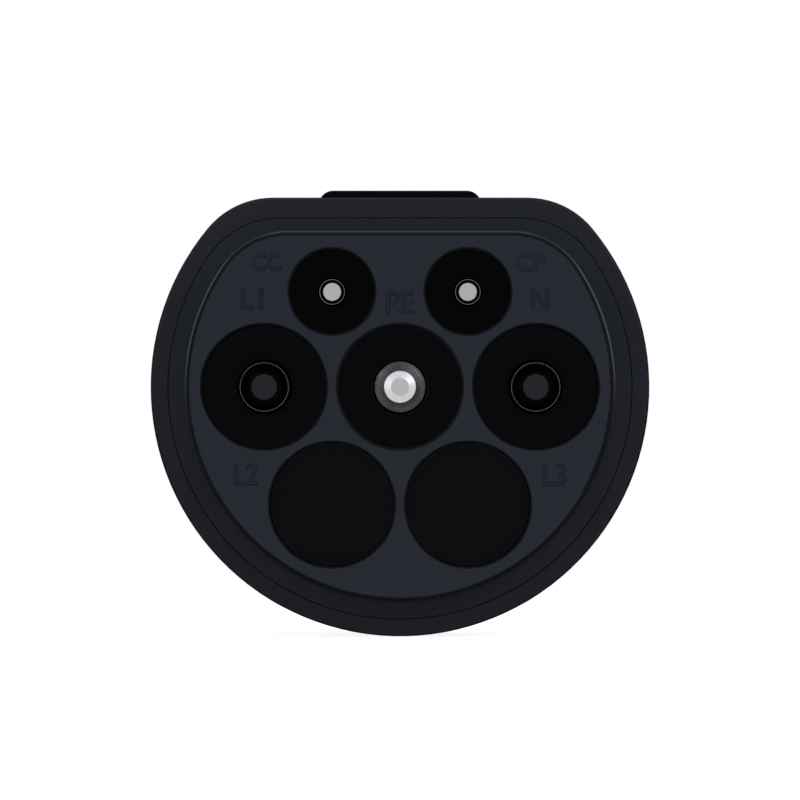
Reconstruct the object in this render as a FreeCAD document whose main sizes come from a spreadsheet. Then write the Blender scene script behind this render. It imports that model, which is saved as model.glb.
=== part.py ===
import FreeCAD, Part
import os
import re
from math import atan2, cos, pi, sqrt, tan

import Sketcher

# An adapter between a round five-pin charging connector and a D-shaped plug nose.
# X runs across, Y from the plug's face to the round inlet, Z up. Lengths are in mm.
# The origin is under the middle of the adapter, on the surface that it lies on.

Vector = FreeCAD.Vector
doc = FreeCAD.newDocument("charging_adapter")
sheet = doc.addObject("Spreadsheet::Sheet", "Sizes")
pieces = []

# Every size that can be set by itself, in mm, with angles in degrees
sizes = {
    # Lengths along the adapter
    "nose_length": 27,
    "shell_length": 63,
    "inlet_flange_thickness": 4,
    "shroud_length": 38,
    # Seven wells around the earth contact
    "contact_pitch": 16,
    "signal_row_rise": 11.2,
    "well_web": 1.4,
    "signal_web": 1.46,
    "well_depth": 28,
    "well_mouth_round": 0.35,
    # Nose block: a circle with a flat top and rounded corners, and its flange
    "nose_wall": 2.1,
    "nose_top_wall": 2.2,
    "nose_corner": 9.5,
    "lip_round": 0.8,
    "flange_thickness": 4,
    "flange_step": 2,
    "flange_top_step": 1.55,
    "flange_corner": 10.4,
    # Shell around the flange
    "shell_rim": 2.1,
    "shell_top_rim": 2.45,
    "shell_corner": 10,
    "shell_wall": 2.8,
    "edge_round": 0.35,
    "seat_gap": 0.08,
    "shoulder_thickness": 4.5,
    # Finger grooves on the shell's flanks
    "grip_start": 24,
    "grip_spacing": 3.4,
    "grip_count": 8,
    "grip_width": 1.8,
    "grip_depth": 0.7,
    "grip_angle": 62,
    # Front pins: distances from the nose's face to each tip
    "power_pin_radius": 3,
    "signal_pin_radius": 1.5,
    "earth_tip_recess": 5.5,
    "power_tip_recess": 7.5,
    "signal_tip_recess": 11,
    "power_collar_radius": 4.2,
    "signal_collar_radius": 2.6,
    "power_shank_radius": 2.7,
    "signal_shank_radius": 1.6,
    "crimp_length": 9,
    "crimp_depth": 7,
    "earth_tip_flat": 1.05,
    "earth_dome_radius": 1.85,
    "earth_dome_height": 0.2,
    "earth_taper_length": 0.52,
    "signal_tip_flat": 1.06,
    "signal_taper_radius": 1.42,
    "signal_taper_length": 1.1,
    "pin_rim_chamfer": 0.12,
    "pin_land_extra": 0.25,
    "pin_land_taper": 0.8,
    # Touch guards on the two power pins
    "cap_length": 3.6,
    "cap_tip_radius": 1.5,
    "cap_base_radius": 2.84,
    "cap_tip_round": 0.45,
    "cap_stem_radius": 1.4,
    "cap_stem_length": 5,
    # Plate that traps the front pins, and its screws
    "retainer_thickness": 3,
    "retainer_screw_radius": 1.45,
    "retainer_head_radius": 2.6,
    "retainer_head_height": 1.8,
    "retainer_screw_grip": 8,
    "upper_screw_inset": 5.3,
    "upper_screw_angle": 35,
    "lower_screw_inset": 2.8,
    "lower_screw_angle": 30.5,
    "screw_hole_gap": 0.15,
    # Flat seals
    "seal_thickness": 1.2,
    "seal_gap": 0.05,
    "nose_seal_inset": 0.5,
    "nose_seal_width": 1,
    "rim_seal_inset": 0.6,
    "rim_seal_width": 0.7,
    # Coding resistor on its board, behind the front retainer
    "board_width": 20,
    "board_height": 11,
    "board_thickness": 1.6,
    "board_drop": 14.5,
    "board_standoff": 1.8,
    "board_peg_radius": 1.1,
    "board_peg_offset": 7.5,
    "board_rest_radius": 1.9,
    "resistor_radius": 1.25,
    "resistor_waist": 1,
    "resistor_length": 7,
    "resistor_slope": 0.3,
    "lead_radius": 0.45,
    "lead_offset": 1.8,
    "lead_foot": 2,
    "lead_clearance": 0.3,
    # Round inlet: its axis lies below the earth contact's
    "inlet_drop": 3.5,
    "shroud_ledge": 5.5,
    "shroud_wall": 2,
    "shroud_groove": 3.25,
    "cup_wall": 2,
    "cup_recess": 1,
    "inlet_floor": 7,
    "spigot_length": 4,
    "spigot_wall": 2.2,
    "spigot_notch_gap": 0.3,
    "mouth_chamfer": 0.6,
    "groove_seal_thickness": 1.5,
    # Catch on top of the shroud, which the connector's hook holds
    "catch_rise": 1.2,
    "catch_width": 19.5,
    "catch_round": 1.7,
    "catch_lean": 0.5,
    "catch_sink": 6.4,
    "catch_length": 24,
    "catch_ramp_length": 5,
    "hook_recess_width": 13,
    "hook_recess_length": 8,
    "hook_recess_depth": 2.6,
    "hook_recess_start": 10,
    # Inlet pins
    "inlet_power_offset": 7.9,
    "inlet_power_rise": 6.8,
    "inlet_earth_drop": 10.6,
    "inlet_signal_offset": 10.6,
    "inlet_signal_drop": 5.6,
    "inlet_power_radius": 1.8,
    "inlet_earth_radius": 1.4,
    "inlet_signal_radius": 0.75,
    "inlet_power_reach": 32,
    "inlet_earth_reach": 33,
    "inlet_signal_reach": 25,
    "inlet_tip_share": 0.4,
    "inlet_shoulder_share": 0.12,
    "inlet_taper_share": 0.56,
    "inlet_collar_extra": 1.2,
    "inlet_collar_thickness": 2.5,
    "inlet_crimp_extra": 0.9,
    "inlet_crimp_extra_signal": 0.85,
    "inlet_plate_gap": 1.5,
    "inlet_plate_screw_circle": 16.5,
    # Screws that hold the inlet to the shell
    "housing_screw_radius": 1.1,
    "housing_head_radius": 2,
    "housing_head_height": 1.5,
    "housing_screw_grip": 9,
    "housing_socket_radius": 1.15,
    "housing_socket_depth": 0.9,
    "corner_screw_inset": 3.9,
    "corner_screw_angle": 37.5,
    "flank_screw_inset": 2.75,
    "flank_screw_drop": 4,
    "corner_boss_radius": 3.2,
    "flank_boss_radius": 2.2,
    "boss_length": 13,
    # Wires inside the shell
    "power_wire_radius": 2.1,
    "power_core_radius": 1.4,
    "signal_wire_radius": 1.1,
    "signal_core_radius": 0.7,
    "core_gap": 0.05,
    "wire_run_in": 4,
    "wire_bend": 5,
    "signal_wire_swing": 6.5,
    "upper_bend_run": 0.4,
    "upper_bend_fall": 0.15,
    "lower_bend_run": 0.65,
    "lower_bend_fall": 0.7,
}

# Sizes and places that follow from those: places along Y count from the nose's face
following = {
    "total_length": "nose_length + shell_length + inlet_flange_thickness + shroud_length",
    "lower_row_drop": "contact_pitch * sin(60)",
    "power_well_radius": "(contact_pitch - well_web) / 2",
    "signal_well_distance": "sqrt((contact_pitch / 2) ^ 2 + signal_row_rise ^ 2)",
    "signal_well_radius": "signal_well_distance - power_well_radius - signal_web",
    "nose_radius": "contact_pitch + power_well_radius + nose_wall",
    "nose_flat": "signal_row_rise + signal_well_radius + nose_top_wall",
    "flange_radius": "nose_radius + flange_step",
    "flange_flat": "nose_flat + flange_top_step",
    "shell_radius": "flange_radius + shell_rim",
    "shell_flat": "flange_flat + shell_top_rim",
    "upper_screw_offset": "(nose_radius - upper_screw_inset) * cos(upper_screw_angle)",
    "upper_screw_rise": "(nose_radius - upper_screw_inset) * sin(upper_screw_angle)",
    "lower_screw_offset": "(nose_radius - lower_screw_inset) * cos(lower_screw_angle)",
    "lower_screw_drop": "(nose_radius - lower_screw_inset) * sin(lower_screw_angle)",
    "corner_screw_offset": "(shell_radius - corner_screw_inset) * cos(corner_screw_angle)",
    "corner_screw_rise": "(shell_radius - corner_screw_inset) * sin(corner_screw_angle)",
    "flank_screw_offset": "shell_radius - flank_screw_inset",
    "shroud_radius": "shell_radius - shroud_ledge",
    "shroud_bore": "shroud_radius - shroud_wall",
    "cup_radius": "shroud_bore - shroud_groove",
    "cup_bore": "cup_radius - cup_wall",
    "inlet_plate_radius": "shell_radius - shell_wall - spigot_wall - inlet_drop - inlet_plate_gap",
    "catch_height": "shell_flat + inlet_drop + catch_rise",
    "catch_foot": "shroud_radius - catch_sink",
    "flange_back": "nose_length + flange_thickness",
    "shoulder_back": "flange_back + shoulder_thickness",
    "nose_block_length": "shoulder_back - seat_gap",
    "retainer_back": "shoulder_back + retainer_thickness",
    "shell_back": "nose_length + shell_length",
    "crimp_back": "retainer_back + crimp_length",
    "board_front": "retainer_back + board_standoff",
    "nose_face": "-total_length / 2",
    "axis_height": "shell_radius",
    "inlet_face": "nose_face + shell_back",
    "inlet_height": "axis_height - inlet_drop",
    "inlet_back": "inlet_flange_thickness + shroud_length",
}


def fill_sheet():
    """Each size is a cell of the sheet with its name as alias. One that follows is a formula."""
    cells = dict(sizes)
    cells.update({name: "=" + formula for name, formula in following.items()})
    for row, (name, content) in enumerate(cells.items(), 1):
        sheet.set(f"A{row}", name)
        sheet.set(f"B{row}", str(content))
        sheet.setAlias(f"B{row}", name)
    doc.recompute()


fill_sheet()

# Outlines: radius, height of the flat and radius of the corners
shell_shape = ("shell_radius", "shell_flat", "shell_corner")
flange_shape = ("flange_radius", "flange_flat", "flange_corner")
nose_shape = ("nose_radius", "nose_flat", "nose_corner")

# How near two places count as the same, and the least volume that a cut takes away
same_place = 1e-4
least_cut = 1e-6

# Where the contacts and screws lie in a view along the adapter
earth_at = ("0", "0")
line_at = ("-contact_pitch", "0")
neutral_at = ("contact_pitch", "0")
confirm_at = ("-contact_pitch / 2", "signal_row_rise")
pilot_at = ("contact_pitch / 2", "signal_row_rise")
spare_wells = [("-contact_pitch / 2", "-lower_row_drop"), ("contact_pitch / 2", "-lower_row_drop")]
retainer_screws_at = [
    ("-upper_screw_offset", "upper_screw_rise"),
    ("upper_screw_offset", "upper_screw_rise"),
    ("-lower_screw_offset", "-lower_screw_drop"),
    ("lower_screw_offset", "-lower_screw_drop"),
]
board_pegs_at = [("-board_peg_offset", "-board_drop"), ("board_peg_offset", "-board_drop")]
inlet_line_at = ("-inlet_power_offset", "inlet_power_rise")
inlet_neutral_at = ("inlet_power_offset", "inlet_power_rise")
inlet_earth_at = ("0", "-inlet_earth_drop")
inlet_pilot_at = ("inlet_signal_offset", "-inlet_signal_drop")
inlet_proximity_at = ("-inlet_signal_offset", "-inlet_signal_drop")
inlet_plate_screws_at = [
    (f"{x} * inlet_plate_screw_circle * cos(45)", f"{z} * inlet_plate_screw_circle * sin(45)")
    for x in ("-1", "1")
    for z in ("-1", "1")
]
corner_screws_at = [
    ("-corner_screw_offset", "corner_screw_rise"),
    ("corner_screw_offset", "corner_screw_rise"),
]
flank_screws_at = [
    ("-flank_screw_offset", "-flank_screw_drop"),
    ("flank_screw_offset", "-flank_screw_drop"),
]


def value(words):
    """The present value of a formula of sheet names."""
    return float(sheet.evalExpression(words))


def tied(words):
    """The same formula as another object reads it: each name with the sheet's before it."""
    return re.sub(r"[a-z]+(_[a-z]+)+", lambda name: "Sizes." + name.group(), words)


def bind(thing, prop, words):
    thing.setExpression(prop, tied(words))


def raised(places, rise):
    """The same places seen from an axis that lies lower by rise."""
    return [(across, f"{up} + {rise}") for across, up in places]


def place(piece, along, height):
    bind(piece, ".Placement.Base.y", along)
    bind(piece, ".Placement.Base.z", height)
    pieces.append(piece)
    return piece


def new_body(label):
    body = doc.addObject("PartDesign::Body", label)
    body.Label = label
    return body


def at_nose(body):
    return place(body, "nose_face", "axis_height")


def at_inlet(body):
    return place(body, "inlet_face", "inlet_height")


def new_sketch(body, name, along="0", role="XZ_Plane"):
    """A sketch across the adapter, or on another origin plane, at a distance along Y."""
    sketch = body.newObject("Sketcher::SketchObject", name)
    plane = [part for part in body.Origin.OriginFeatures if part.Role == role][0]
    sketch.AttachmentSupport = [(plane, "")]
    sketch.MapMode = "FlatFace"
    if role == "XZ_Plane":
        bind(sketch, ".AttachmentOffset.Base.z", f"-({along})")
    return sketch


def hold(sketch, kind, geometry, words):
    """A dimension in a sketch, tied to a formula."""
    number = sketch.addConstraint(Sketcher.Constraint(kind, *geometry, value(words)))
    bind(sketch, f"Constraints[{number}]", words)


def circles(sketch, places, radius):
    for across, up in places:
        centre = Vector(value(across), value(up), 0)
        ring = sketch.addGeometry(Part.Circle(centre, Vector(0, 0, 1), value(radius)))
        hold(sketch, "DistanceX", (-1, 1, ring, 3), across)
        hold(sketch, "DistanceY", (-1, 1, ring, 3), up)
        hold(sketch, "Radius", (ring,), radius)


def outline(sketch, radius, flat, corner, inset="0", rise="0"):
    """A circle with a flat top: two corner arcs run tangent from the circle into the flat."""
    big, top, small = [value(f"{words} - ({inset})") for words in (radius, flat, corner)]
    lift = value(rise)
    up = top - small
    across = sqrt((big - small) ** 2 - up**2)
    turn = atan2(up, across)
    out = Vector(0, 0, 1)
    arcs = [
        Part.ArcOfCircle(Part.Circle(Vector(0, lift, 0), out, big), pi - turn, 2 * pi + turn),
        Part.ArcOfCircle(Part.Circle(Vector(across, lift + up, 0), out, small), turn, pi / 2),
        Part.LineSegment(Vector(across, lift + top, 0), Vector(-across, lift + top, 0)),
        Part.ArcOfCircle(Part.Circle(Vector(-across, lift + up, 0), out, small), pi / 2, pi - turn),
    ]
    round_part, right, flat_line, left = sketch.addGeometry(arcs, False)
    for first, second in ((round_part, right), (right, flat_line), (flat_line, left), (left, round_part)):
        sketch.addConstraint(Sketcher.Constraint("Tangent", first, 2, second, 1))
    sketch.addConstraint(Sketcher.Constraint("Horizontal", flat_line))
    sketch.addConstraint(Sketcher.Constraint("Equal", right, left))
    sketch.addConstraint(Sketcher.Constraint("PointOnObject", round_part, 3, -2))
    hold(sketch, "DistanceY", (-1, 1, round_part, 3), rise)
    hold(sketch, "Radius", (round_part,), f"{radius} - ({inset})")
    hold(sketch, "Radius", (right,), f"{corner} - ({inset})")
    hold(sketch, "DistanceY", (-1, 1, flat_line, 1), f"{flat} - ({inset}) + ({rise})")


def lines(sketch, points):
    """A closed outline of straight lines whose corners are formulas."""
    corners = [Vector(value(first), value(second), 0) for first, second in points]
    first = len(sketch.Geometry)
    count = len(points)
    for number in range(count):
        sketch.addGeometry(Part.LineSegment(corners[number], corners[(number + 1) % count]))
    for number in range(count):
        line, following = first + number, first + (number + 1) % count
        sketch.addConstraint(Sketcher.Constraint("Coincident", line, 2, following, 1))
        hold(sketch, "DistanceX", (-1, 1, line, 1), points[number][0])
        hold(sketch, "DistanceY", (-1, 1, line, 1), points[number][1])


def hexagon(sketch, across, up, radius):
    """Six sides around a place, each corner at the radius from it."""
    angles = [f"360 / 6 * {turn}" for turn in range(6)]
    lines(sketch, [(f"{across} + {radius} * cos({a})", f"{up} + {radius} * sin({a})") for a in angles])


def pad(body, sketch, length):
    feature = body.newObject("PartDesign::Pad", sketch.Name + "_pad")
    feature.Profile = sketch
    feature.Reversed = True
    bind(feature, "Length", length)
    return feature


def pocket(body, sketch, length):
    """A cut towards the inlet. One that takes nothing away is a mistake."""
    doc.recompute()
    before = body.Shape.Volume
    feature = body.newObject("PartDesign::Pocket", sketch.Name + "_cut")
    feature.Profile = sketch
    bind(feature, "Length", length)
    doc.recompute()
    if body.Shape.Volume > before - least_cut:
        raise RuntimeError(f"{sketch.Name} cuts nothing")
    return feature


def posts(body, name, places, radius, start, end):
    sketch = new_sketch(body, name, start)
    circles(sketch, places, radius)
    return pad(body, sketch, f"({end}) - ({start})")


def holes(body, name, places, radius, start, end):
    sketch = new_sketch(body, name, start)
    circles(sketch, places, radius)
    return pocket(body, sketch, f"({end}) - ({start})")


def outline_pad(body, name, start, end, *shape, **moved):
    sketch = new_sketch(body, name, start)
    outline(sketch, *shape, **moved)
    return pad(body, sketch, f"({end}) - ({start})")


def outline_cut(body, name, start, end, *shape, **moved):
    sketch = new_sketch(body, name, start)
    outline(sketch, *shape, **moved)
    return pocket(body, sketch, f"({end}) - ({start})")


def dress(body, name, kind, amount, chosen):
    """A fillet or chamfer on the edges that a test chooses."""
    doc.recompute()
    base = body.Tip
    edges = [f"Edge{n}" for n, edge in enumerate(base.Shape.Edges, 1) if chosen(edge)]
    if not edges:
        raise RuntimeError(f"{name} finds no edge")
    feature = body.newObject("PartDesign::" + kind, name)
    feature.Base = (base, edges)
    bind(feature, "Radius" if kind == "Fillet" else "Size", amount)
    return feature


def lies_at(edge, along):
    box = edge.BoundBox
    return max(abs(box.YMin - value(along)), abs(box.YMax - value(along))) < same_place


def reach(edge):
    """How far the edge gets from the body's own Y axis, across X."""
    return max(abs(edge.BoundBox.XMin), abs(edge.BoundBox.XMax))


def turned(label, points):
    """A round piece: its half profile, each point a radius and a place along Y."""
    body = new_body(label)
    sketch = new_sketch(body, label + "_profile", role="XY_Plane")
    lines(sketch, points)
    feature = body.newObject("PartDesign::Revolution", label + "_turned")
    feature.Profile = sketch
    feature.ReferenceAxis = (sketch, ["V_Axis"])
    return body


def stand_at(body, where, side):
    """Moves a turned piece to its contact's place, on the nose's axis or the inlet's."""
    across, up = where
    bind(body, ".Placement.Base.x", across)
    along, height = ("nose_face", "axis_height") if side == "nose" else ("inlet_face", "inlet_height")
    return place(body, along, f"{height} + {up}")


def tail(free, collar, shank, core):
    """The hidden end of a front pin: land in the well's floor, collar, shank and crimp barrel."""
    land = f"{free} + pin_land_extra"
    return [
        (free, "well_depth"),
        (land, "well_depth + pin_land_taper"),
        (land, "flange_back"),
        (collar, "flange_back"),
        (collar, "nose_block_length"),
        (shank, "nose_block_length"),
        (shank, "crimp_back"),
        (f"{core} + core_gap", "crimp_back"),
        (f"{core} + core_gap", "crimp_back - crimp_depth"),
        ("0", "crimp_back - crimp_depth"),
    ]


def power_tail():
    return tail("power_pin_radius", "power_collar_radius", "power_shank_radius", "power_core_radius")


def signal_tail():
    return tail("signal_pin_radius", "signal_collar_radius", "signal_shank_radius", "signal_core_radius")


def nose_block():
    body = new_body("nose_block")
    outline_pad(body, "nose", "0", "nose_block_length", *nose_shape)
    outline_pad(body, "nose_flange", "nose_length", "flange_back", *flange_shape)
    contacts = (
        ("power", [earth_at, line_at, neutral_at], spare_wells),
        ("signal", [confirm_at, pilot_at], []),
    )
    for name, pinned, spare in contacts:
        holes(body, name + "_wells", pinned + spare, name + "_well_radius", "0", "well_depth")
        land = f"{name}_pin_radius + pin_land_extra + seat_gap"
        holes(body, name + "_land_holes", pinned, land, "well_depth", "nose_block_length")
        collar = f"{name}_collar_radius + seat_gap"
        holes(body, name + "_collar_seats", pinned, collar, "flange_back", "nose_block_length")
    start = "nose_block_length - retainer_screw_grip"
    holes(body, "retainer_pilots", retainer_screws_at, "retainer_screw_radius", start, "nose_block_length")
    seal_groove(body, "nose_seal_groove", "flange_back - seal_thickness", "flange_back")
    dress(
        body, "well_mouths", "Fillet", "well_mouth_round",
        lambda edge: lies_at(edge, "0") and edge.isClosed(),
    )
    dress(
        body, "lip", "Fillet", "lip_round",
        lambda edge: lies_at(edge, "0") and not edge.isClosed(),
    )
    return at_nose(body)


def seal_groove(body, name, start, end):
    """The groove for the nose's flat seal, a little wider than the seal on each side."""
    sketch = new_sketch(body, name, start)
    outline(sketch, *flange_shape, inset="nose_seal_inset - seal_gap")
    outline(sketch, *flange_shape, inset="nose_seal_inset + nose_seal_width + seal_gap")
    pocket(body, sketch, f"({end}) - ({start})")


def nose_gasket():
    body = new_body("nose_gasket")
    sketch = new_sketch(body, "nose_seal", "flange_back - seal_thickness")
    outline(sketch, *flange_shape, inset="nose_seal_inset")
    outline(sketch, *flange_shape, inset="nose_seal_inset + nose_seal_width")
    pad(body, sketch, "seal_thickness")
    return at_nose(body)


def earth_pin():
    """A bare pin with a blunt tip: small flat, low dome, wide cone."""
    taper_end = "earth_tip_recess + earth_dome_height + earth_taper_length"
    profile = [
        ("0", "earth_tip_recess"),
        ("earth_tip_flat", "earth_tip_recess"),
        ("earth_dome_radius", "earth_tip_recess + earth_dome_height"),
        ("power_pin_radius", taper_end),
    ]
    pin = turned("pin_earth", profile + power_tail())
    return stand_at(pin, earth_at, "nose")


def power_pin(label, where):
    """A pin whose end is bored for the stem of its touch guard."""
    start = "power_tip_recess + cap_length"
    bore = "cap_stem_radius + core_gap"
    bore_end = f"{start} + cap_stem_length + core_gap"
    profile = [
        ("0", bore_end),
        (bore, bore_end),
        (bore, start),
        ("power_pin_radius - pin_rim_chamfer", start),
        ("power_pin_radius", f"{start} + pin_rim_chamfer"),
    ]
    pin = turned(label, profile + power_tail())
    return stand_at(pin, where, "nose")


def tip_cap(label, where):
    """The plastic touch guard: a short cone with a stem behind it."""
    base = "power_tip_recess + cap_length"
    profile = [
        ("0", "power_tip_recess"),
        ("cap_tip_radius", "power_tip_recess"),
        ("cap_tip_radius + cap_tip_round", "power_tip_recess + cap_tip_round"),
        ("cap_base_radius", base),
        ("cap_stem_radius", base),
        ("cap_stem_radius", f"{base} + cap_stem_length"),
        ("0", f"{base} + cap_stem_length"),
    ]
    return stand_at(turned(label, profile), where, "nose")


def signal_pin(label, where):
    """A thin pin: flat tip, steep taper, and a fine land where the full width starts."""
    taper_end = "signal_tip_recess + signal_taper_length"
    profile = [
        ("0", "signal_tip_recess"),
        ("signal_tip_flat", "signal_tip_recess"),
        ("signal_taper_radius", taper_end),
        ("signal_pin_radius", taper_end),
    ]
    pin = turned(label, profile + signal_tail())
    return stand_at(pin, where, "nose")


def shell():
    body = new_body("housing_shell")
    outline_pad(body, "shell_outline", "nose_length", "shell_back", *shell_shape)
    outline_cut(body, "mouth", "nose_length", "flange_back", *flange_shape, inset="-seat_gap")
    outline_cut(body, "opening", "flange_back", "shoulder_back", *nose_shape, inset="-seat_gap")
    outline_cut(body, "cavity", "shoulder_back", "shell_back", *shell_shape, inset="shell_wall")
    start = "shell_back - boss_length"
    posts(body, "corner_bosses", corner_screws_at, "corner_boss_radius", start, "shell_back")
    posts(body, "flank_bosses", flank_screws_at, "flank_boss_radius", start, "shell_back")
    pilots = "shell_back - housing_screw_grip"
    screws = corner_screws_at + flank_screws_at
    holes(body, "housing_pilots", screws, "housing_screw_radius", pilots, "shell_back")
    for name, along in (("front_edge", "nose_length"), ("rear_edge", "shell_back")):
        dress(
            body, name, "Fillet", "edge_round",
            lambda edge: lies_at(edge, along) and not edge.isClosed() and is_outermost(edge),
        )
    grip(body)
    return at_nose(body)


def is_outermost(edge):
    """True on the shell's own outline: its round part, its two corners and its flat."""
    middle = edge.valueAt((edge.FirstParameter + edge.LastParameter) / 2)
    flat = abs(middle.z - value("shell_flat")) < same_place
    big, small = value("shell_radius"), value("shell_corner")
    round_part = abs(sqrt(middle.x**2 + middle.z**2) - big) < same_place
    up = value("shell_flat") - small
    across = sqrt((big - small) ** 2 - up**2)
    corner = abs(sqrt((abs(middle.x) - across) ** 2 + (middle.z - up) ** 2) - small) < same_place
    return flat or round_part or corner


def grip(body):
    """Finger grooves: a row of shallow cuts turned about the shell's axis on both flanks."""
    sketch = new_sketch(body, "grip_profile", role="XY_Plane")
    middle = "nose_length + grip_start"
    for side in ("-1", "1"):
        outside = f"{side} * (shell_radius + grip_depth)"
        floor = f"{side} * (shell_radius - grip_depth)"
        lines(
            sketch,
            [
                (outside, f"{middle} - grip_width / 2 - grip_depth / 2"),
                (floor, f"{middle} - grip_width / 4"),
                (floor, f"{middle} + grip_width / 4"),
                (outside, f"{middle} + grip_width / 2 + grip_depth / 2"),
            ],
        )
    doc.recompute()
    before = body.Shape.Volume
    groove = body.newObject("PartDesign::Groove", "grip_groove")
    groove.Profile = sketch
    groove.ReferenceAxis = (sketch, ["V_Axis"])
    groove.Midplane = True
    bind(groove, "Angle", "grip_angle")
    doc.recompute()
    if body.Shape.Volume > before - least_cut:
        raise RuntimeError("the grip groove cuts nothing")
    row = body.newObject("PartDesign::LinearPattern", "grip_row")
    row.Originals = [groove]
    row.Direction = (sketch, ["V_Axis"])
    bind(row, "Length", "grip_spacing * (grip_count - 1)")
    bind(row, "Occurrences", "grip_count")
    body.Tip = row


def front_retainer():
    """The plate that traps the pins' collars and draws the nose against the shell's shoulder."""
    body = new_body("front_retainer")
    start, end = "shoulder_back", "retainer_back"
    outline_pad(body, "front_plate", start, end, *shell_shape, inset="shell_wall + seat_gap")
    power = [earth_at, line_at, neutral_at]
    signal = [confirm_at, pilot_at]
    holes(body, "power_shank_holes", power, "power_shank_radius + seat_gap", start, end)
    holes(body, "signal_shank_holes", signal, "signal_shank_radius + seat_gap", start, end)
    clear = "retainer_screw_radius + screw_hole_gap"
    holes(body, "retainer_screw_holes", retainer_screws_at, clear, start, end)
    posts(body, "board_rests", board_pegs_at, "board_rest_radius", "retainer_back", "board_front")
    peg_end = "board_front + board_thickness"
    posts(body, "board_pegs", board_pegs_at, "board_peg_radius", "retainer_back", peg_end)
    return at_nose(body)


def screw_set(label, places, head, head_start, head_end, shank, shank_start, shank_end):
    """Like screws as one node of separate solids, each a round head on its shank."""
    body = new_body(label)
    posts(body, label + "_heads", places, head, head_start, head_end)
    posts(body, label + "_shanks", places, shank, shank_start, shank_end)
    return body


def resistor_board():
    body = new_body("resistor_board")
    sketch = new_sketch(body, "board", "board_front")
    left, right = "-board_width / 2", "board_width / 2"
    low, high = "-board_drop - board_height / 2", "-board_drop + board_height / 2"
    lines(sketch, [(left, low), (right, low), (right, high), (left, high)])
    circles(sketch, board_pegs_at, "board_peg_radius + core_gap")
    pad(body, sketch, "board_thickness")
    return at_nose(body)


def coding_resistor():
    """A small round resistor across the board, thicker at its ends."""
    body = new_body("coding_resistor")
    sketch = new_sketch(body, "resistor_profile", role="XY_Plane")
    end, neck = "resistor_length / 2", "resistor_length / 2 - resistor_radius"
    lines(
        sketch,
        [
            (f"-({end})", "0"),
            (f"-({end})", "resistor_radius"),
            (f"-({neck})", "resistor_radius"),
            (f"-({neck}) + resistor_slope", "resistor_waist"),
            (f"{neck} - resistor_slope", "resistor_waist"),
            (neck, "resistor_radius"),
            (end, "resistor_radius"),
            (end, "0"),
        ],
    )
    feature = body.newObject("PartDesign::Revolution", "resistor_turned")
    feature.Profile = sketch
    feature.ReferenceAxis = (sketch, ["H_Axis"])
    along = "nose_face + board_front + board_thickness + resistor_radius"
    return place(body, along, "axis_height - board_drop")


def point(where, along):
    across, up = where
    return Vector(value(across), value(along), value(up))


def tube(points, radius, bend):
    """A round wire along straight runs joined by tangent arcs."""
    edges = []
    start = points[0]
    for before, corner, after in zip(points, points[1:], points[2:]):
        into = (corner - before).normalize()
        onward = (after - corner).normalize()
        turn = into.getAngle(onward)
        used = bend * tan(turn / 2)
        first = corner - into * used
        last = corner + onward * used
        middle = corner + (onward - into).normalize() * (bend / cos(turn / 2) - bend)
        edges.append(Part.LineSegment(start, first).toShape())
        edges.append(Part.Arc(first, middle, last).toShape())
        start = last
    edges.append(Part.LineSegment(start, points[-1]).toShape())
    ring = Part.Wire(Part.Circle(points[0], points[1] - points[0], radius).toShape())
    return Part.Wire(edges).makePipeShell([ring], True, False)


def wire(label, start, end, radius, core, swing):
    """An insulated wire from a front pin's barrel to an inlet pin's, bared at both ends.

    swing is how far it goes round its neighbours, outwards, between the two.
    """
    run, depth = value("wire_run_in"), value("crimp_depth") - value("core_gap")
    first = point(start, "crimp_back")
    last = point(end, "shell_back - retainer_thickness - crimp_length")
    last.z -= value("inlet_drop")
    ahead = Vector(0, run, 0)
    points = [first, first + ahead, last - ahead, last]
    if swing:
        side = 1 if first.x > 0 else -1
        aside = max(abs(first.x), abs(last.x)) + swing
        span = last.y - first.y
        fall = first.z - last.z
        upper = Vector(side * aside, first.y + value("upper_bend_run") * span, first.z)
        lower = Vector(side * aside, first.y + value("lower_bend_run") * span, first.z)
        upper.z -= value("upper_bend_fall") * fall
        lower.z -= value("lower_bend_fall") * fall
        points = [first, first + ahead / 2, upper, lower, last - ahead / 2, last]
    bend = value("wire_bend") / (2 if swing else 1)
    solid = tube(points, value(radius), bend)
    bare = value(core)
    back = Part.makeCylinder(bare, depth, first, Vector(0, -1, 0))
    front = Part.makeCylinder(bare, depth, last, Vector(0, 1, 0))
    feature = doc.addObject("Part::Feature", label)
    feature.Label = label
    feature.Shape = solid.fuse([back, front]).removeSplitter()
    return at_nose(feature)


def resistor_leads():
    """Two leads that stand on the board and meet the barrels of the earth and confirm pins."""
    radius = value("lead_radius")
    along = value("board_front + board_thickness") + radius
    foot = value("-board_drop + board_height / 2 - lead_foot")
    to_earth = (value("lead_offset"), value("lead_clearance - power_shank_radius"))
    to_confirm = (value(confirm_at[0]), value(f"{confirm_at[1]} - signal_shank_radius"))
    solids = [
        Part.makeCylinder(radius, top - foot, Vector(across, along, foot))
        for across, top in (to_earth, to_confirm)
    ]
    feature = doc.addObject("Part::Feature", "resistor_leads")
    feature.Label = "resistor_leads"
    feature.Shape = Part.makeCompound(solids)
    return at_nose(feature)


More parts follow.
